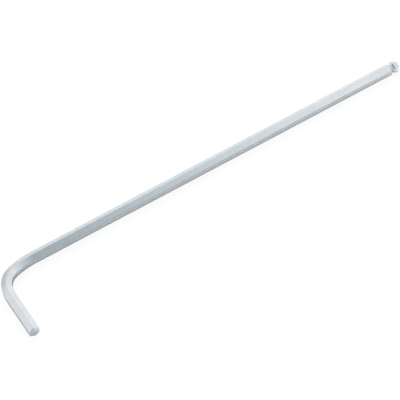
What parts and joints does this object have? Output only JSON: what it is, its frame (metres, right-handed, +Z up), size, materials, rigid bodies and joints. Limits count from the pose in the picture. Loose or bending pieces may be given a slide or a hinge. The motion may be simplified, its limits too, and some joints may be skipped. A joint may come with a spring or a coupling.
{
  "type": "hex key",
  "caption": "Long L-shaped hexagon key with a short bent arm and a necked ball end on its long arm.",
  "frame": {"origin": "on the table, under the middle of the key's bounding box as it lies flat", "axes": "+X along the long arm towards the ball end, -Y along the short arm towards its end face, +Z up from the table"},
  "size_m": [0.129, 0.023, 0.0034],
  "materials": {
    "plated_steel": "light satin plating, pale and slightly blue"
  },
  "bodies": {
    "root": {"key_bar": "plated_steel"}
  },
  "joints": []
}
